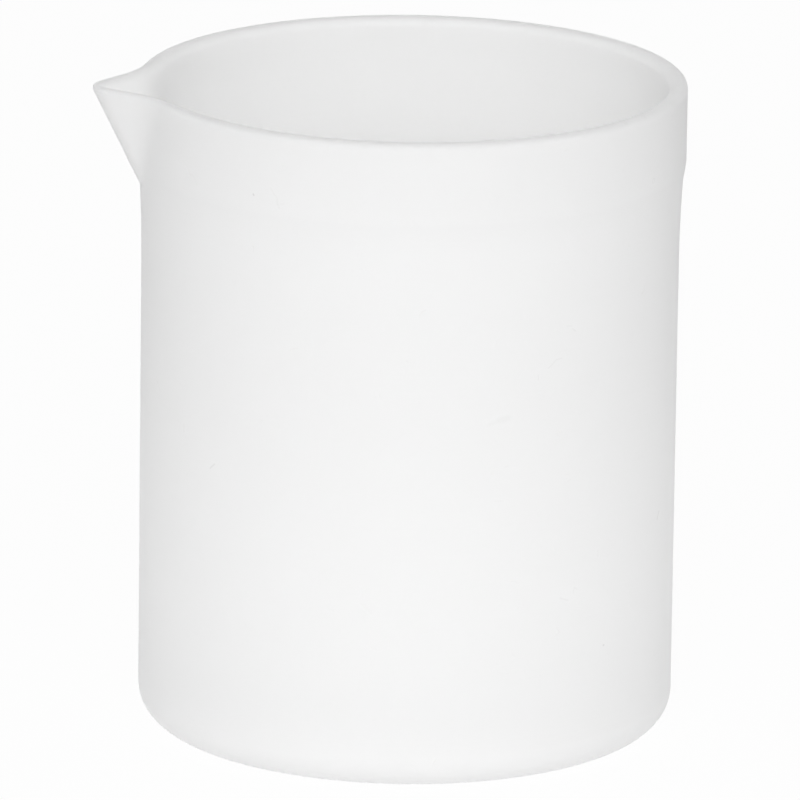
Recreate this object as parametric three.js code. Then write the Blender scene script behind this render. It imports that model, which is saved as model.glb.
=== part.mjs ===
// A laboratory beaker in white fluoropolymer, one solid: floor, straight wall, thick rim band and
// pouring beak. Millimetres, +Z up. The origin is the centre of the flat underside, and the beak
// points along -X.
//
// The vessel is turned first, as one closed profile round the axis. Its rim is then drawn out into
// the beak: each point of the turned skins moves straight outwards, by an amount that depends on
// its height and on its angle from the beak.

import * as THREE from 'three';
import { mergeVertices } from 'three/addons/utils/BufferGeometryUtils.js';

// Driving dimensions of the turned vessel
const height = 89.3;
const bodyDiameter = 72.5;
const wallThickness = 1.8;
const floorThickness = 3.4;
const baseCornerRadius = 4.8;
const floorCornerRadius = 6;

// The rim band, which stands proud of the wall over a short chamfer and a faint flare
const bandHeight = 11.5;
const bandStand = 0.75;
const chamferHeight = 1.9;
const flareHeight = 8;
const flareStand = 0.2;

// The lip, eased on both edges
const lipOuterRadius = 0.5;
const lipInnerRadius = 0.9;

// The pouring beak
const beakReach = 6.5;
const beakDepth = 14.8;
const beakHalfAngle = THREE.MathUtils.degToRad(43);
const beakWall = 2;
const beakEdgeRadius = 3;
const beakHollowRadius = 7;

// How finely the skins are divided
const columns = 88;
const columnCrowding = 0.65;
const wallRow = 1.5;
const cornerRows = 5;
const lipRows = 3;

const bodyRadius = bodyDiameter / 2;
const bandRadius = bodyRadius + bandStand;
const boreRadius = bodyRadius - wallThickness;
const bandBottom = height - bandHeight;
const chamferBottom = bandBottom - chamferHeight;
const flareBottom = chamferBottom - flareHeight;

// Radius of the turned outside at a height: wall, flare, chamfer, band
function turnedRadius(z) {
  if (z >= bandBottom) return bandRadius;
  if (z >= chamferBottom) {
    return THREE.MathUtils.mapLinear(z, chamferBottom, bandBottom, bodyRadius + flareStand, bandRadius);
  }
  const rise = Math.max(0, (z - flareBottom) / flareHeight);
  return bodyRadius + flareStand * rise * rise;
}

// The larger of two values, rounded over where they lie within reach of each other
function softMax(a, b, reach) {
  const overlap = Math.max(0, reach - Math.abs(a - b));
  return Math.max(a, b) + (reach > 0 ? (overlap * overlap) / (4 * reach) : 0);
}

// The reach at which softMax rounds a corner between two slopes to a wanted radius
const reachFor = (radius, slopeChange) => (radius * slopeChange * slopeChange) / 2;

// One skin of the beak: a prow of two flat flanks, which meet over a rounded ridge. The ridge runs
// straight down and back from the tip, and a soft hollow joins each flank to the round skin. The
// apex is where the flanks would meet at the rim without the rounding.
function makeProw(skinRadius, apex, edgeReach) {
  const meeting = Math.asin(Math.min(1, (apex * Math.sin(beakHalfAngle)) / skinRadius));
  const hollowReach = reachFor(beakHollowRadius, 1 / Math.tan(meeting));
  return (angle, z, roundRadius) => {
    const ridge = apex - (height - z) * ridgeSlope;
    const flank = (side) => {
      const lean = Math.min(Math.PI / 2, beakHalfAngle + side * angle);
      return (ridge * Math.sin(beakHalfAngle)) / Math.sin(Math.max(lean, beakHalfAngle / 2));
    };
    const prow = -softMax(-flank(1), -flank(-1), edgeReach);
    return softMax(roundRadius, prow, hollowReach);
  };
}

const ridgeSlope = (bandRadius + beakReach - bodyRadius) / beakDepth;
const ridgeReach = reachFor(beakEdgeRadius, 2 / Math.tan(beakHalfAngle));
const ridgeApex = bandRadius + beakReach + ridgeReach / 4;
const valleyRadius = Math.max(0, beakEdgeRadius - beakWall);
const valleyReach = reachFor(valleyRadius, 2 / Math.tan(beakHalfAngle));
const valleyApex = ridgeApex - beakWall / Math.sin(beakHalfAngle);
const channelDepth = (valleyApex - valleyReach / 4 - boreRadius) / ridgeSlope;
const outerSkin = makeProw(bandRadius, ridgeApex, ridgeReach);
const innerSkin = makeProw(boreRadius, valleyApex, valleyReach);

// Heights from the first key to the last, with rows no further apart than a pitch
function divide(keys, pitch) {
  const sorted = [...keys].sort((a, b) => a - b);
  return sorted.slice(1).flatMap((top, i) => {
    const low = sorted[i];
    const rows = Math.ceil((top - low) / pitch);
    return Array.from({ length: rows }, (_, k) => low + ((top - low) * (k + 1)) / rows);
  });
}

// A quarter round, as points from one angle to another
function corner(x, y, radius, from, to, rows) {
  return Array.from({ length: rows + 1 }, (_, k) => {
    const angle = THREE.MathUtils.lerp(from, to, k / rows);
    return new THREE.Vector2(x + radius * Math.cos(angle), y + radius * Math.sin(angle));
  });
}

// The section of the vessel, from the underside's centre up the outside, over the lip, down the
// bore and in to the floor's centre
function section() {
  const quarter = Math.PI / 2;
  const outerTop = height - lipOuterRadius;
  const innerTop = height - lipInnerRadius;
  const beakFoot = height - beakDepth;
  const outside = divide([flareBottom, beakFoot, chamferBottom, bandBottom, outerTop], wallRow);
  const bore = divide([height - channelDepth, innerTop], wallRow).reverse().slice(1);
  const floorRing = boreRadius - floorCornerRadius;
  return [
    new THREE.Vector2(0, 0),
    ...corner(bodyRadius - baseCornerRadius, baseCornerRadius, baseCornerRadius, -quarter, 0, cornerRows),
    new THREE.Vector2(bodyRadius, flareBottom),
    ...outside.slice(0, -1).map((z) => new THREE.Vector2(turnedRadius(z), z)),
    ...corner(bandRadius - lipOuterRadius, outerTop, lipOuterRadius, 0, quarter, lipRows),
    ...corner(boreRadius + lipInnerRadius, innerTop, lipInnerRadius, quarter, 2 * quarter, lipRows),
    ...bore.map((z) => new THREE.Vector2(boreRadius, z)),
    new THREE.Vector2(boreRadius, height - channelDepth),
    ...corner(floorRing, floorThickness + floorCornerRadius, floorCornerRadius, 0, -quarter, cornerRows),
    new THREE.Vector2(0, floorThickness),
  ];
}

// Draws the beak out of the turned vessel. A point between the two skins, as on the lip, keeps its
// share of the wall. The columns crowd towards the beak, where the shape turns fastest.
function drawBeak(geometry) {
  const position = geometry.attributes.position;
  const point = new THREE.Vector3();
  for (let i = 0; i < position.count; i += 1) {
    point.fromBufferAttribute(position, i);
    const radius = Math.hypot(point.x, point.y);
    const even = Math.atan2(point.y, -point.x);
    const angle = even - columnCrowding * Math.sin(even);
    const outer = turnedRadius(point.z);
    const share = THREE.MathUtils.clamp((radius - boreRadius) / (outer - boreRadius), 0, 1);
    const shift = THREE.MathUtils.lerp(
      innerSkin(angle, point.z, boreRadius) - boreRadius,
      outerSkin(angle, point.z, outer) - outer,
      share);
    const drawn = radius + (point.z > height - beakDepth ? shift : 0);
    position.setXYZ(i, -drawn * Math.cos(angle), drawn * Math.sin(angle), point.z);
  }
}

function makeBeaker() {
  const turned = new THREE.LatheGeometry(section(), columns);
  turned.rotateX(Math.PI / 2);
  drawBeak(turned);
  turned.deleteAttribute('normal');
  turned.deleteAttribute('uv');
  const geometry = mergeVertices(turned, 1e-4);
  geometry.computeVertexNormals();
  const fluoropolymer = new THREE.MeshStandardMaterial({ color: 0xf3f3f1, roughness: 0.45, metalness: 0 });
  const mesh = new THREE.Mesh(geometry, fluoropolymer);
  mesh.name = 'beaker_body';
  return mesh;
}

const beaker = new THREE.Group();
beaker.add(makeBeaker());

export default beaker;
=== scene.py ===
# %% [markdown]
# # A laboratory beaker in white fluoropolymer
#
# The real beaker is one piece of PTFE, a soft, waxy, pure white plastic that nothing sticks to.
# It is pressed and baked into a blank and then turned on a lathe, and the pouring beak is drawn
# out of its warm rim. The imported CAD model gives its size and place. This lesson builds the same
# vessel again as a fine, smooth mesh, gives it the finish of the real material, and photographs
# it on a white light table.
#
# The first step loads the imported model and moves its parts into world space, so that the box of
# its node can give the sizes further on.

# %% Load the imported model
import math

import bmesh
import bpy
from mathutils import Matrix, Vector


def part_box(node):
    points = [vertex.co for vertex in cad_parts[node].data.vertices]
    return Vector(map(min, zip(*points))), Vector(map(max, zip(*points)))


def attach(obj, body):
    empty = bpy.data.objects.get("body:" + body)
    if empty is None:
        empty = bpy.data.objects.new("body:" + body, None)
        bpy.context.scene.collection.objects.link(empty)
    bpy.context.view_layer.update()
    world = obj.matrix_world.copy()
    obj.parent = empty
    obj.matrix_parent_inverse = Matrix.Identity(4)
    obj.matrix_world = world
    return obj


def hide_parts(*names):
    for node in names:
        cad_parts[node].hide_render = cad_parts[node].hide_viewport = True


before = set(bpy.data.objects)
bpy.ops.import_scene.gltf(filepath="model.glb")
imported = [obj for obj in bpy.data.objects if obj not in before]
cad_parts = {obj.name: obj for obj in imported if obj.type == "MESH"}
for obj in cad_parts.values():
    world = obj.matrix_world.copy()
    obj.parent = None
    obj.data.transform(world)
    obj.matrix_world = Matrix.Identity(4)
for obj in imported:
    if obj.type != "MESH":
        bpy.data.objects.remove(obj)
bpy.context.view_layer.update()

MM = 0.001

# %% [markdown]
# ## The camera
#
# The picture is taken from far away with a long lens, so the beaker's sides look almost
# parallel. The camera stands a metre and a half off and looks down by about 15 degrees, so it
# sees a little of the inside. It could be aimed by dragging it about, but turns in a fixed order
# are easier to read and to repeat: tilt down, lean to one side, and a last turn of the whole
# stand round the beaker, which brings the beak slightly towards us.

# %% Place the camera
CAMERA_LENS_MM = 524.47
CAMERA_SIGHT = 20
CAMERA_DISTANCE = 1.5209
CAMERA_HEIGHT = 0.46247
CAMERA_TILT = math.radians(15.3701)
CAMERA_SWING = math.radians(0.0418)
CAMERA_LEAN = math.radians(0.7592)
BEAK_TURN = math.radians(8.4)


def place_camera():
    """Makes the camera and aims it from a stand that is turned round the beaker's axis."""
    camera = bpy.data.objects.new("camera", bpy.data.cameras.new("camera"))
    camera.data.lens = CAMERA_LENS_MM
    camera.data.clip_end = CAMERA_SIGHT
    stand = Matrix.Rotation(-BEAK_TURN, 4, "Z")
    stand @= Matrix.Translation((0, -CAMERA_DISTANCE, CAMERA_HEIGHT))
    aim = Matrix.Rotation(CAMERA_SWING, 4, "Z")
    aim @= Matrix.Rotation(math.pi / 2 - CAMERA_TILT, 4, "X")
    aim @= Matrix.Rotation(CAMERA_LEAN, 4, "Z")
    camera.matrix_world = stand @ aim
    bpy.context.scene.collection.objects.link(camera)
    bpy.context.scene.camera = camera
    return camera


camera = place_camera()
print("camera at", [round(place, 4) for place in camera.matrix_world.translation])

# %% [markdown]
# ## Sizes
#
# The height and the rim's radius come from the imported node. The other sizes are those of the
# turned profile: a straight wall, a thick band round the rim, and rounded corners at the base.

# %% Name the sizes
low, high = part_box("beaker_body")
HEIGHT = high.z
BAND_RADIUS = high.x
BODY_RADIUS = 36.25 * MM
WALL = 1.8 * MM
BORE_RADIUS = BODY_RADIUS - WALL
FLOOR = 3.4 * MM
BASE_CORNER = 4.8 * MM
FLOOR_CORNER = 6 * MM

BAND_BOTTOM = HEIGHT - 10.7 * MM
CHAMFER_BOTTOM = BAND_BOTTOM - 2.4 * MM
CHAMFER_EASE = 5 * MM
FLARE_BOTTOM = CHAMFER_BOTTOM - 12 * MM
FLARE_STAND = 0.35 * MM

LIP_OUTER_CORNER = 0.9 * MM
LIP_INNER_CORNER = 1.3 * MM
print(f"height {HEIGHT / MM:.1f} mm, rim {2 * BAND_RADIUS / MM:.1f} mm across")

# %% [markdown]
# ## The turned outside
#
# A lathe makes the outside: a plain wall, a faint flare, a short chamfer and the rim band. It
# could be a list of points, but then each soft edge would need many of them. Here the wall, the
# chamfer and the band are three plain formulas, and one helper rounds the corners where they
# meet. The beak uses the same helper.

# %% Round one slope into another
def soft_max(a, b, reach):
    """The larger of two values, rounded over where they lie within reach of each other."""
    overlap = max(0.0, reach - abs(a - b))
    return max(a, b) + (overlap * overlap / (4 * reach) if reach > 0 else 0.0)


def soft_min(a, b, reach):
    """The smaller of two values, rounded in the same way."""
    return -soft_max(-a, -b, reach)


def reach_for(radius, slope_change):
    """The reach that rounds a corner between two slopes to a wanted radius."""
    return radius * slope_change * slope_change / 2


def turned_radius(z):
    """Radius of the turned outside at a height: wall, flare, chamfer, band."""
    rise = min(1.0, max(0.0, (z - FLARE_BOTTOM) / (CHAMFER_BOTTOM - FLARE_BOTTOM)))
    wall = BODY_RADIUS + FLARE_STAND * rise * rise
    stand = BAND_RADIUS - BODY_RADIUS - FLARE_STAND
    slope = stand / (BAND_BOTTOM - CHAMFER_BOTTOM)
    chamfer = BODY_RADIUS + FLARE_STAND + (z - CHAMFER_BOTTOM) * slope
    reach = reach_for(CHAMFER_EASE, slope)
    return soft_min(BAND_RADIUS, soft_max(wall, chamfer, reach), reach)


print("wall at mid height", round(turned_radius(HEIGHT / 2) / MM, 2), "mm from the axis")

# %% [markdown]
# ## The beak
#
# The beak is what takes a maker's skill. On the real beaker the warm rim is pushed out over a
# wedge, so two flat flanks meet in a rounded ridge. The ridge runs straight down and back from
# the tip into the wall, and a soft hollow joins each flank to the round band. It could be
# sculpted, or cut from a second body, but both leave a seam. A formula that tells how far out
# the skin lies at an angle and a height keeps the wall in one piece. The same formula, a wall's
# thickness further in and with a wider hollow, gives the channel inside.

# %% Shape the beak's two skins
BEAK_REACH = 6.5 * MM
BEAK_DEPTH = 14.8 * MM
BEAK_HALF_ANGLE = math.radians(43)
BEAK_WALL = 2 * MM
BEAK_EDGE_RADIUS = 3 * MM
BEAK_HOLLOW_RADIUS = 10 * MM
CHANNEL_HOLLOW_RADIUS = 20 * MM
BEAK_FOOT_EASE = 5 * MM
BEAK_FOOT = HEIGHT - BEAK_DEPTH
RIDGE_SLOPE = (BAND_RADIUS + BEAK_REACH - BODY_RADIUS) / BEAK_DEPTH


def make_prow(skin_radius, apex, edge_reach, hollow_radius):
    """One skin of the beak, as a function from an angle, a height and the round radius there."""
    meeting = math.asin(min(1.0, apex * math.sin(BEAK_HALF_ANGLE) / skin_radius))
    full_hollow = reach_for(hollow_radius, 1 / math.tan(meeting))

    def skin(angle, z, round_radius):
        ridge = apex - (HEIGHT - z) * RIDGE_SLOPE
        leans = [min(math.pi / 2, BEAK_HALF_ANGLE + side * angle) for side in (1, -1)]
        flanks = [
            ridge * math.sin(BEAK_HALF_ANGLE) / math.sin(max(lean, BEAK_HALF_ANGLE / 2))
            for lean in leans
        ]
        prow = soft_min(flanks[0], flanks[1], edge_reach)
        hollow = full_hollow * min(1.0, max(0.0, (z - BEAK_FOOT) / BEAK_FOOT_EASE))
        return soft_max(round_radius, prow, hollow)

    return skin


ridge_reach = reach_for(BEAK_EDGE_RADIUS, 2 / math.tan(BEAK_HALF_ANGLE))
ridge_apex = BAND_RADIUS + BEAK_REACH + ridge_reach / 4
valley_reach = reach_for(BEAK_EDGE_RADIUS - BEAK_WALL, 2 / math.tan(BEAK_HALF_ANGLE))
valley_apex = ridge_apex - BEAK_WALL / math.sin(BEAK_HALF_ANGLE)
outer_skin = make_prow(BAND_RADIUS, ridge_apex, ridge_reach, BEAK_HOLLOW_RADIUS)
inner_skin = make_prow(BORE_RADIUS, valley_apex, valley_reach, CHANNEL_HOLLOW_RADIUS)
CHANNEL_DEPTH = (valley_apex - valley_reach / 4 - BORE_RADIUS) / RIDGE_SLOPE
print(f"beak {BEAK_REACH / MM:.1f} mm out, channel {CHANNEL_DEPTH / MM:.1f} mm deep")

# %% [markdown]
# ## The section
#
# The section is the closed line that the lathe tool follows: from the middle of the underside
# up the outside, over the lip, down the bore and in to the middle of the floor. Long plain
# stretches need few points. The corners, the chamfer and the beak's height need many, because
# that is where the light turns.

# %% Draw the section
WALL_ROW = 2.5 * MM
FINE_ROW = 0.4 * MM
LIP_ROW = 0.15 * MM
CORNER_STEPS = 12
LIP_STEPS = 12


def stretch(start, end, pitch):
    """Places from start to end, no further apart than a pitch, without the start."""
    steps = max(1, math.ceil(abs(end - start) / pitch - 1e-9))
    return [start + (end - start) * step / steps for step in range(1, steps + 1)]


def arc(centre, radius, start, end, steps):
    """Points of a round corner, from one angle to another, both in quarter turns."""
    turns = [start + (end - start) * step / steps for step in range(steps + 1)]
    angles = [turn * math.pi / 2 for turn in turns]
    return [
        (centre[0] + radius * math.cos(angle), centre[1] + radius * math.sin(angle))
        for angle in angles
    ]


def section():
    """The turned profile as points of radius and height."""
    outer_top = HEIGHT - LIP_OUTER_CORNER
    inner_top = HEIGHT - LIP_INNER_CORNER
    fine_bottom = BEAK_FOOT - FINE_ROW
    underside = [(r, 0) for r in [0, *stretch(0, BODY_RADIUS - BASE_CORNER, WALL_ROW)]]
    base = arc((BODY_RADIUS - BASE_CORNER, BASE_CORNER), BASE_CORNER, -1, 0, CORNER_STEPS)
    rows = stretch(BASE_CORNER, fine_bottom, WALL_ROW)
    rows += stretch(fine_bottom, outer_top, FINE_ROW)
    outside = [(turned_radius(z), z) for z in rows]
    outer_lip = arc((BAND_RADIUS - LIP_OUTER_CORNER, outer_top), LIP_OUTER_CORNER, 0, 1, LIP_STEPS)
    inner_lip = arc((BORE_RADIUS + LIP_INNER_CORNER, inner_top), LIP_INNER_CORNER, 1, 2, LIP_STEPS)
    flat = stretch(outer_lip[-1][0], inner_lip[0][0], LIP_ROW)[:-1]
    channel_bottom = HEIGHT - CHANNEL_DEPTH - FINE_ROW
    floor_top = FLOOR + FLOOR_CORNER
    rows = stretch(inner_top, channel_bottom, FINE_ROW)
    rows += stretch(channel_bottom, floor_top, WALL_ROW)
    bore = [(BORE_RADIUS, z) for z in rows]
    floor_ring = BORE_RADIUS - FLOOR_CORNER
    floor_corner = arc((floor_ring, floor_top), FLOOR_CORNER, 0, -1, CORNER_STEPS)
    floor = [(r, FLOOR) for r in stretch(floor_ring, 0, WALL_ROW)]
    return [
        *underside[:-1], *base, *outside, *outer_lip[1:], *((r, HEIGHT) for r in flat),
        *inner_lip, *bore, *floor_corner[1:], *floor,
    ]


profile = section()
print(len(profile), "points in the section")

# %% [markdown]
# ## The body
#
# `bmesh.ops.spin` turns the section once round the axis and closes it on itself. The columns
# are then crowded towards the beak, where the shape turns fastest, and each point moves straight
# out to its skin. A point of the lip lies between the two skins, and keeps its share of the
# wall. The mesh is one closed skin, so it would hold water, or a render with light inside it.
# The spin hands out its points and faces in an order that changes from run to run, so both are
# put in the order of their places at the end.

# %% Turn the vessel and draw its beak
COLUMNS = 288
CROWDING = 0.65


def turn_section(mesh, points):
    """Spins the section round the Z axis into a closed skin."""
    line = [mesh.verts.new((radius, 0, z)) for radius, z in points]
    edges = [mesh.edges.new(pair) for pair in zip(line, line[1:])]
    bmesh.ops.spin(
        mesh, geom=line + edges, cent=(0, 0, 0), axis=(0, 0, 1), dvec=(0, 0, 0),
        angle=2 * math.pi, steps=COLUMNS, use_merge=True,
    )
    bmesh.ops.remove_doubles(mesh, verts=mesh.verts, dist=1e-7)
    bmesh.ops.recalc_face_normals(mesh, faces=mesh.faces)


def draw_beak(mesh):
    """Crowds the columns towards the beak and moves each point out to its skin."""
    for point in mesh.verts:
        x, y, z = point.co
        radius = math.hypot(x, y)
        even = math.atan2(y, -x)
        angle = even - CROWDING * math.sin(even)
        outer = turned_radius(z)
        share = min(1.0, max(0.0, (radius - BORE_RADIUS) / (outer - BORE_RADIUS)))
        if z > BEAK_FOOT:
            inner_shift = inner_skin(angle, z, BORE_RADIUS) - BORE_RADIUS
            outer_shift = outer_skin(angle, z, outer) - outer
            radius += inner_shift + (outer_shift - inner_shift) * share
        point.co = (-radius * math.cos(angle), radius * math.sin(angle), z)


def sort_by_place(elements, place):
    """Puts points or faces in the order of their places, which is the same in every run."""
    order = sorted(elements, key=lambda element: tuple(place(element)))
    rank = {element: number for number, element in enumerate(order)}
    elements.sort(key=lambda element: rank[element])


def make_body():
    """The fine beaker, which stands for the CAD node beaker_body."""
    mesh = bmesh.new()
    turn_section(mesh, profile)
    draw_beak(mesh)
    sort_by_place(mesh.verts, lambda point: point.co)
    sort_by_place(mesh.faces, lambda face: face.calc_center_median())
    for face in mesh.faces:
        face.smooth = True
    data = bpy.data.meshes.new("beaker")
    mesh.to_mesh(data)
    mesh.free()
    body = bpy.data.objects.new("beaker", data)
    bpy.context.scene.collection.objects.link(body)
    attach(body, "root")
    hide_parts("beaker_body")
    return body


beaker = make_body()
print(len(beaker.data.vertices), "points and", len(beaker.data.polygons), "faces")

# %% [markdown]
# ## Shader maths in plain Python
#
# A finish is a sum of small effects, and each is a little formula. In the node editor a formula
# becomes a tangle of Math nodes. This class wraps one output socket of a node and overloads the
# operators, so that `1 - mask * 0.2` makes its own nodes. Every other node comes from `node`,
# which takes its type, then its settings, then its sockets.

# %% Wrap a node's output
class Field:
    """A value, a vector or a shader that comes out of one node."""

    def __init__(self, tree, socket=None):
        self.tree = tree
        self.socket = socket

    def node(self, kind, settings=None, sockets=None, output=0):
        """Adds a node: its settings first, then the values or links of its sockets."""
        made = self.tree.nodes.new(kind)
        for name, value in (settings or {}).items():
            setattr(made, name, value)
        for name, value in (sockets or {}).items():
            if isinstance(value, Field):
                self.tree.links.new(value.socket, made.inputs[name])
            else:
                made.inputs[name].default_value = value
        return Field(self.tree, made.outputs[output] if made.outputs else None)

    def math(self, operation, *values):
        return self.node("ShaderNodeMath", {"operation": operation}, dict(enumerate(values)))

    def vector(self, operation, *values, output="Vector"):
        sockets = dict(enumerate(values))
        return self.node("ShaderNodeVectorMath", {"operation": operation}, sockets, output)

    def length(self):
        """The length of a vector, as a number."""
        return self.vector("LENGTH", self, output="Value")

    def scaled(self, vector, factor):
        """A vector or colour times a number, either of them a constant or a Field."""
        sockets = {0: vector, "Scale": factor}
        return self.node("ShaderNodeVectorMath", {"operation": "SCALE"}, sockets)

    def mixed_colour(self, factor, first, second):
        """The first colour where the factor is 0, the second where it is 1."""
        sockets = {0: factor, 6: first, 7: second}
        return self.node("ShaderNodeMix", {"data_type": "RGBA"}, sockets, 2)

    def __add__(self, other):
        return self.math("ADD", self, other)

    __radd__ = __add__

    def __sub__(self, other):
        return self.math("SUBTRACT", self, other)

    def __rsub__(self, other):
        return self.math("SUBTRACT", other, self)

    def __mul__(self, other):
        return self.math("MULTIPLY", self, other)

    __rmul__ = __mul__

    def __abs__(self):
        return self.math("ABSOLUTE", self)

    def ramp(self, start, end):
        """Goes smoothly from 0 at start to 1 at end, whichever of them is the larger."""
        settings = {"interpolation_type": "SMOOTHSTEP"}
        sockets = {"Value": self, "From Min": start, "From Max": end}
        return self.node("ShaderNodeMapRange", settings, sockets)

    def noise(self, size, detail):
        """Noise in space, with features of about a size."""
        sockets = {"Vector": self, "Scale": 1 / size, "Detail": detail}
        return self.node("ShaderNodeTexNoise", None, sockets)

    def noise_along(self, size, detail):
        """Noise that varies along one value only."""
        sockets = {"W": self, "Scale": 1 / size, "Detail": detail}
        return self.node("ShaderNodeTexNoise", {"noise_dimensions": "1D"}, sockets)

    def part(self, axis):
        """One part of a vector: 0, 1 or 2 for x, y or z."""
        return self.node("ShaderNodeSeparateXYZ", None, {0: self}, axis)


def new_material(name):
    """An empty material, and a Field to add its nodes with."""
    material = bpy.data.materials.new(name)
    material.use_nodes = True
    material.node_tree.nodes.clear()
    return material, Field(material.node_tree)


print("shader helpers ready")

# %% [markdown]
# ## White fluoropolymer
#
# Sintered PTFE is whiter than paper and a little waxy. Light goes in, wanders for a millimetre
# or two and comes out again, so edges look soft and some light passes right through the wall.
# The gloss is low and soft. A plain white colour would look like plaster, with hard dark edges,
# so the shader's subsurface part does all the scattering. The rest of the real look is small:
# faint cloudiness left by the pressed powder, fine rings from the lathe, a few dark specks baked
# in, a lint fibre here and there, and dull rub marks where the lip and the base are handled. Each
# is a little formula of the place on the object in millimetres, and all of them stay faint.

# %% Lay out the effects of the finish
CLOUD_SIZE = 24
MOTTLE_SIZE = 3.2
MOTTLE_SHARE = 0.5
GROOVE_PITCH = 0.45
LINT_BAND = 0.006
LINT_LENGTH = 2.4
LINT_SHIFT = (31.0, 17.0, 5.0)


def cloudiness(place):
    """Pressed powder: broad soft clouds with finer mottling in them, about 0."""
    broad = place.noise(CLOUD_SIZE, 1.0) - 0.5
    fine = place.noise(MOTTLE_SIZE, 2.0) - 0.5
    return broad + fine * MOTTLE_SHARE


def lathe_rings(place, from_axis, upright):
    """Fine turned grooves: they follow the height on walls and the radius on floors."""
    on_wall = place.part(2).noise_along(GROOVE_PITCH, 2.0)
    on_floor = from_axis.noise_along(GROOVE_PITCH, 2.0)
    return on_wall * upright + on_floor * (1 - upright)


def specks(place, cell, share, size):
    """Dark grains: round dots of a size in a share of the cells of a random pattern."""
    settings = {"feature": "F1"}
    sockets = {"Vector": place, "Scale": 1 / cell, "Randomness": 1.0}
    distance = place.node("ShaderNodeTexVoronoi", settings, sockets, "Distance") * cell
    lot = place.node("ShaderNodeTexVoronoi", settings, sockets, "Color").part(0)
    return distance.ramp(size, size * 0.4) * lot.ramp(share + 0.01, share)


def fibres(place, spread, rarity):
    """Lint: short stretches of the thin lines on which a noise crosses its middle value."""
    line = abs(place.noise(spread, 1.0) - 0.5).ramp(LINT_BAND, LINT_BAND / 3)
    here = place.vector("ADD", place, LINT_SHIFT).noise(LINT_LENGTH, 0.0)
    return line * here.ramp(rarity, rarity + 0.03)


print("finish effects: cloudiness, lathe rings, specks, fibres")

# %% [markdown]
# ## The marks of use
#
# A used beaker has its own few marks: a lint fibre or two pressed into the soft wall, short
# scuffs, a faint smudge at a finger's height. Random masks can't put them where they are, so
# they are drawn one by one on the wall as if it were unrolled flat. A place is the distance round
# the wall from its front and the height, both in millimetres. A stroke is a line of such
# places, with half a width, a depth and a softness.

# %% Draw the marks on the unrolled wall
STROKES = [
    {"line": [(-24.3, 81.9), (-23.7, 81.1), (-23.3, 80.7), (-23.3, 79.9), (-23.0, 79.4)],
     "half_width": 0.07, "soft": 0.12, "depth": 0.034},
    {"line": [(-23.2, 79.9), (-22.4, 80.0)], "half_width": 0.06, "soft": 0.14, "depth": 0.018},
    {"line": [(14.1, 57.6), (14.7, 58.0), (15.3, 58.6), (16.2, 58.7)],
     "half_width": 0.05, "soft": 0.1, "depth": 0.045},
    {"line": [(17.0, 63.0), (17.7, 62.9)], "half_width": 0.07, "soft": 0.1, "depth": 0.035},
    {"line": [(17.9, 62.5), (18.4, 62.1)], "half_width": 0.06, "soft": 0.1, "depth": 0.05},
    {"line": [(16.6, 25.5), (17.9, 25.0)], "half_width": 0.07, "soft": 0.1, "depth": 0.05},
    {"line": [(19.4, 26.3), (18.9, 26.6), (18.8, 25.9)],
     "half_width": 0.06, "soft": 0.1, "depth": 0.045},
    {"line": [(23.1, 31.0), (23.1, 30.2)], "half_width": 0.07, "soft": 0.12, "depth": 0.035},
    {"line": [(38.6, 32.9), (38.2, 32.4), (37.9, 31.9)],
     "half_width": 0.08, "soft": 0.12, "depth": 0.11},
    {"line": [(-40.5, 46.2), (-40.5, 45.3)], "half_width": 0.1, "soft": 0.16, "depth": 0.04},
    {"line": [(-34.7, 41.5), (-33.9, 42.2)], "half_width": 0.06, "soft": 0.12, "depth": 0.09},
    {"line": [(12.6, 56.8), (12.6, 56.2)], "half_width": 0.05, "soft": 0.1, "depth": 0.05},
    {"line": [(6.5, 40.1), (7.6, 40.0)], "half_width": 0.08, "soft": 0.14, "depth": 0.02},
    {"line": [(-26.96, 80.7), (-26.9, 80.6)], "half_width": 0.1, "soft": 0.1, "depth": 0.16},
    {"line": [(24.5, 17.5), (24.6, 17.5)], "half_width": 0.11, "soft": 0.1, "depth": 0.13},
    {"line": [(5.6, 50.7), (6.7, 51.1)], "half_width": 0.1, "soft": 0.4, "depth": 0.022},
    {"line": [(7.2, 51.2), (8.2, 51.35)], "half_width": 0.2, "soft": 0.6, "depth": 0.035},
]


def distance_to_stretch(flat, start, end):
    """Distance from a place on the flat wall to the straight stretch between two places."""
    start = Vector((*start, 0))
    along = Vector((*end, 0)) - start
    away = flat.vector("SUBTRACT", flat, start)
    share = away.vector("DOT_PRODUCT", away, along / along.length_squared, output="Value")
    clamped = share.node("ShaderNodeClamp", None, {"Value": share})
    nearest = share.scaled(along, clamped)
    return away.vector("SUBTRACT", away, nearest).length()


def unrolled(place):
    """The outside wall laid flat: distance round it from the front, and height."""
    round_wall = place.math("ARCTAN2", place.part(0), place.part(1) * -1) * (BODY_RADIUS / MM)
    return place.node("ShaderNodeCombineXYZ", None, {0: round_wall, 1: place.part(2)})


def strokes(place):
    """How much the drawn marks darken each place of the outside wall."""
    flat = unrolled(place)
    dark = 0
    for stroke in STROKES:
        stretches = zip(stroke["line"], stroke["line"][1:])
        distances = [distance_to_stretch(flat, start, end) for start, end in stretches]
        distance = distances[0]
        for other in distances[1:]:
            distance = distance.math("MINIMUM", distance, other)
        edge = stroke["half_width"] + stroke["soft"]
        dark = dark + distance.ramp(edge, stroke["half_width"] / 2) * stroke["depth"]
    return dark


print(len(STROKES), "strokes on the wall")

# %% [markdown]
# ## The finish put together
#
# The real beaker is the same plastic all over, so one shader does for all of it. Each effect
# could have a layer of its own, but the small formulas are simply added up: they shade the white,
# roughen the gloss here and there, and raise a bump of a hundredth of a millimetre. What is the
# same everywhere, such as the depth that light wanders, stays a plain number on its socket.
# Sizes and heights in this cell are in millimetres, apart from that depth, which is in metres.

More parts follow.
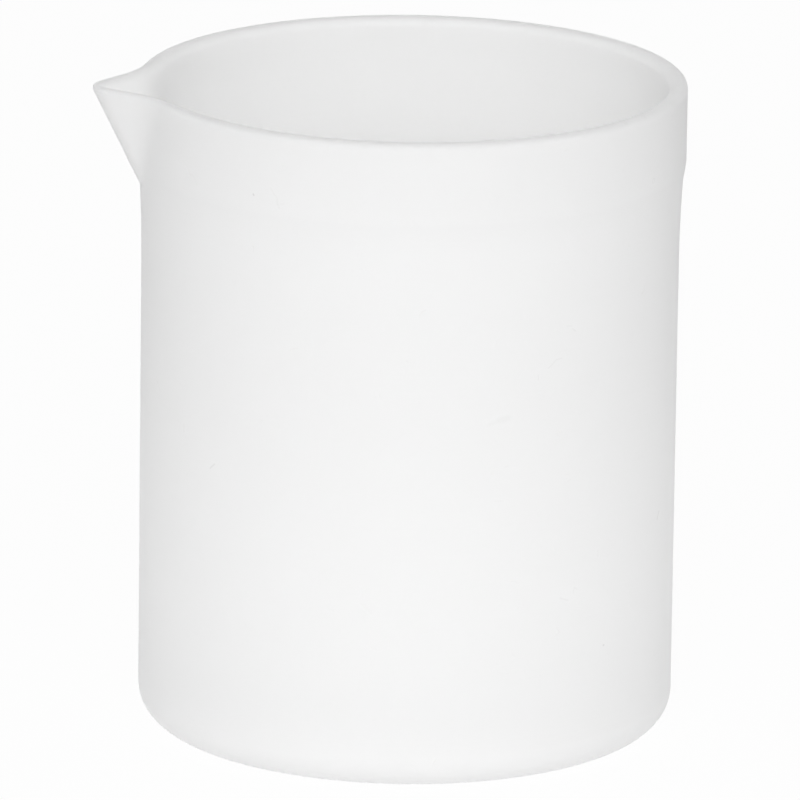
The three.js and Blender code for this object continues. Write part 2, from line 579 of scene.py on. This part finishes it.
# %% Make the fluoropolymer
PTFE_WHITE = (0.965, 0.965, 0.962)
LIGHT_DEPTH = 1.8 * MM
REFRACTION = 1.35
GLOSS = 0.3
UPRIGHT_SLOPE = 0.8, 0.5
OUTSIDE_FROM = BORE_RADIUS / MM + 0.5, BORE_RADIUS / MM + 1.2
INSIDE_DIRT = 0.15
SPECK_CELL, SPECK_SHARE, SPECK_SIZE = 14.0, 0.2, 0.12
LINT_SPREAD, LINT_RARITY = 5.0, 0.73
RUB_SIZE = 1.8
RUB_EDGE = 0.5, 0.75
RUBBED_LIP = 88.4, 89.2
RUBBED_BASE = 1.6, 0.2
CLOUD_SHADE, RING_SHADE = 0.012, 0.006
GRAIN_SHADE, LINT_SHADE, WEAR_SHADE = 0.15, 0.035, 0.02
RING_BUMP, CLOUD_BUMP, LINT_BUMP = 0.004, 0.02, 0.02
ROUGHNESS, CLOUD_ROUGHNESS, WEAR_ROUGHNESS = 0.6, 0.06, 0.1


def fluoropolymer():
    """White PTFE: waxy, softly glossy, with faint clouds, rings, specks and rubbed edges."""
    material, field = new_material("fluoropolymer")
    place = field.scaled(field.node("ShaderNodeTexCoord", output="Object"), 1 / MM)
    from_axis = place.vector("MULTIPLY", place, (1, 1, 0)).length()
    z = place.part(2)
    normal = field.node("ShaderNodeNewGeometry", output="Normal")
    upright = abs(normal.part(2)).ramp(*UPRIGHT_SLOPE)
    outside = from_axis.ramp(*OUTSIDE_FROM)
    dirt = INSIDE_DIRT + outside * (1 - INSIDE_DIRT)

    clouds = cloudiness(place)
    rings = lathe_rings(place, from_axis, upright)
    grains = specks(place, SPECK_CELL, SPECK_SHARE, SPECK_SIZE) * dirt
    lint = fibres(place, LINT_SPREAD, LINT_RARITY) * dirt
    rub = place.noise(RUB_SIZE, 3.0).ramp(*RUB_EDGE)
    wear = rub * (z.ramp(*RUBBED_LIP) + z.ramp(*RUBBED_BASE))
    marks = strokes(place) * outside

    shade = 1 + clouds * CLOUD_SHADE + (rings - 0.5) * RING_SHADE
    shade = shade - grains * GRAIN_SHADE - lint * LINT_SHADE - wear * WEAR_SHADE - marks
    height = rings * RING_BUMP + clouds * CLOUD_BUMP - lint * LINT_BUMP
    bump_sockets = {"Strength": 1.0, "Distance": MM, "Height": height}
    bump = field.node("ShaderNodeBump", None, bump_sockets)
    surface = field.node("ShaderNodeBsdfPrincipled", None, {
        "Base Color": field.scaled(PTFE_WHITE, shade),
        "Roughness": ROUGHNESS + clouds * CLOUD_ROUGHNESS + wear * WEAR_ROUGHNESS,
        "IOR": REFRACTION,
        "Specular IOR Level": GLOSS,
        "Normal": bump,
        "Subsurface Weight": 1.0,
        "Subsurface Radius": (1.0, 1.0, 1.0),
        "Subsurface Scale": LIGHT_DEPTH,
    })
    field.node("ShaderNodeOutputMaterial", None, {"Surface": surface})
    return material


beaker.data.materials.append(fluoropolymer())
print(len(beaker.data.materials[0].node_tree.nodes), "nodes in the fluoropolymer")

# %% [markdown]
# ## The white table
#
# The beaker is photographed on a small white light table in a dim room. Real light on a floor
# is never quite even, so the floor adds its own white for the rays that the camera sees, and
# keeps a little of its lit shade, which is the soft shadow round the base. Reflections see the
# same white. What the floor throws up at the beaker is set apart from that: a low bounce all
# over, and the glow of the table. It is strong right under the base, weak beside it, where the
# beaker shades the glass, and stronger again out to the table's edge. Seen from underneath the
# floor lets the view through, so the base can be looked at.

# %% Mix the table's material
FLOOR_GLOW_SHARE = 0.96
FLOOR_SEEN = (0.9, 0.9, 0.9, 1)
FLOOR_BOUNCE = (0.3, 0.3, 0.3, 1)
TABLE_RADIUS = 0.2
TABLE_EDGE = 0.03
BASE_GLOW, SHADED_GLOW, TABLE_GLOW = 0.6, 0.37, 0.76
UNDER_BASE = 0.036, 0.048
SHADED_RING = 0.048, 0.08
WHITE = (1, 1, 1, 1)


def seen_ray(field):
    """1 for rays of the camera, of reflections and of clear glass, else 0."""
    camera_ray = field.node("ShaderNodeLightPath", output="Is Camera Ray")
    glossy_ray = field.node("ShaderNodeLightPath", output="Is Glossy Ray")
    clear_ray = field.node("ShaderNodeLightPath", output="Is Transmission Ray")
    return field.math("MAXIMUM", camera_ray, field.math("MAXIMUM", glossy_ray, clear_ray))


def table_material():
    """Pale matt glass that looks white to the camera but keeps a faint shadow."""
    material, field = new_material("white_table")
    seen = seen_ray(field)
    paper = field.mixed_colour(seen, FLOOR_BOUNCE, FLOOR_SEEN)
    lit = field.node("ShaderNodeBsdfDiffuse", None, {"Color": paper})
    white = field.node("ShaderNodeEmission", None, {"Color": WHITE, "Strength": 1.0})
    top = field.node("ShaderNodeMixShader", None, {0: seen * FLOOR_GLOW_SHARE, 1: lit, 2: white})
    from_base = field.node("ShaderNodeTexCoord", output="Object").length()
    shaded = SHADED_GLOW + from_base.ramp(*SHADED_RING) * (TABLE_GLOW - SHADED_GLOW)
    level = shaded + (1 - from_base.ramp(*UNDER_BASE)) * (BASE_GLOW - SHADED_GLOW)
    on_table = from_base.ramp(TABLE_RADIUS + TABLE_EDGE, TABLE_RADIUS - TABLE_EDGE)
    unseen = level * on_table * (1 - seen)
    dark = field.node("ShaderNodeEmission", None, {"Color": WHITE, "Strength": 0.0})
    glow = field.node("ShaderNodeMixShader", None, {0: unseen, 1: dark, 2: white})
    both = field.node("ShaderNodeAddShader", None, {0: top, 1: glow})
    clear = field.node("ShaderNodeBsdfTransparent")
    back = field.node("ShaderNodeNewGeometry", output="Backfacing")
    surface = field.node("ShaderNodeMixShader", None, {0: back, 1: both, 2: clear})
    field.node("ShaderNodeOutputMaterial", None, {"Surface": surface})
    return material


print(f"glow {BASE_GLOW} under the base, {SHADED_GLOW} beside it, {TABLE_GLOW} further out")

# %% [markdown]
# ## The floor
#
# The real table has an edge, but none shows, so the floor here is far wider than the picture. It
# could be a thick slab. One flat sheet is enough, a hair below the base, so that the two
# surfaces don't lie in the same place.

# %% Lay the floor
FLOOR_HALF_WIDTH = 1.6
FLOOR_GAP = 0.05 * MM


def lay_floor():
    """A wide flat sheet just under the base."""
    data = bpy.data.meshes.new("floor")
    corners = [(-1, -1), (1, -1), (1, 1), (-1, 1)]
    places = [(x * FLOOR_HALF_WIDTH, y * FLOOR_HALF_WIDTH, -FLOOR_GAP) for x, y in corners]
    data.from_pydata(places, [], [(0, 1, 2, 3)])
    data.materials.append(table_material())
    floor = bpy.data.objects.new("floor", data)
    bpy.context.scene.collection.objects.link(floor)


lay_floor()
print("floor", 2 * FLOOR_HALF_WIDTH, "m wide")

# %% [markdown]
# ## The light
#
# What faces up on the real beaker, the lip, is its darkest part, while the inside is nearly as
# bright as the outside, because light comes through the wall. So little of the light comes from
# above. Most comes from all round, as from the white walls of a room with a dark ceiling, and
# some comes up from the table. The walls could be modelled, but a ring in the world's shader
# does the same work and is never in a camera's way. It starts 14 degrees up, so that it also
# lights the inside as far down as the camera sees.

# %% Fill the room with light
WALL_LIGHT = 2.41
CEILING_LIGHT = 0.0
WALL_LOW = math.sin(math.radians(14))
WALL_HIGH = math.sin(math.radians(30))
WALL_FADE = 0.05


def background(field, strength):
    """A plain white part of the room."""
    return field.node("ShaderNodeBackground", None, {"Color": WHITE, "Strength": strength})


def light_room():
    """White behind everything that is seen, and a ring of bright wall that lights the beaker."""
    world = bpy.data.worlds.new("room")
    world.use_nodes = True
    world.node_tree.nodes.clear()
    field = Field(world.node_tree)
    upward = field.node("ShaderNodeTexCoord", output="Generated").part(2)
    above_low = upward.ramp(WALL_LOW - WALL_FADE, WALL_LOW + WALL_FADE)
    below_high = upward.ramp(WALL_HIGH + WALL_FADE, WALL_HIGH - WALL_FADE)
    ring, ceiling = background(field, WALL_LIGHT), background(field, CEILING_LIGHT)
    mix = {0: above_low * below_high, 1: ceiling, 2: ring}
    room = field.node("ShaderNodeMixShader", None, mix)
    mix = {0: seen_ray(field), 1: room, 2: background(field, 1.0)}
    surface = field.node("ShaderNodeMixShader", None, mix)
    field.node("ShaderNodeOutputWorld", None, {"Surface": surface})
    bpy.context.scene.world = world


light_room()
print("wall light", WALL_LIGHT, "from", round(WALL_LOW, 2), "to", round(WALL_HIGH, 2), "upward")

# %% [markdown]
# ## The front panel
#
# Light from all round alone would leave the wall flat. On the real beaker the front is the
# brightest and the sides fall off slowly, as under one big panel in front and above. A spot or a
# sun would light it as brightly, but with harder shadows. A wide square panel, on the camera's
# side and turned down towards the middle of the beaker, keeps them soft.

# %% Hang the front panel
PANEL_SIZE = 0.8
PANEL_POWER = 6.5
PANEL_RISE = math.radians(33)
PANEL_DISTANCE = 1.3
PANEL_AIM_HEIGHT = 0.045


def hang_panel():
    """A square soft panel that faces the beaker from the camera's side."""
    data = bpy.data.lights.new("front_panel", "AREA")
    data.shape = "SQUARE"
    data.size = PANEL_SIZE
    data.energy = PANEL_POWER
    panel = bpy.data.objects.new("front_panel", data)
    panel.visible_camera = False
    around = Matrix.Rotation(-BEAK_TURN, 4, "Z")
    lift = Matrix.Rotation(math.pi / 2 - PANEL_RISE, 4, "X")
    aim = Matrix.Translation((0, 0, PANEL_AIM_HEIGHT))
    panel.matrix_world = aim @ around @ lift @ Matrix.Translation((0, 0, PANEL_DISTANCE))
    bpy.context.scene.collection.objects.link(panel)


hang_panel()
print("a panel of", PANEL_POWER, "W")

# %% [markdown]
# ## Finish
#
# The picture is shown without any film look, so that white stays white.

# %% Finish
bpy.context.scene.view_settings.view_transform = "Standard"
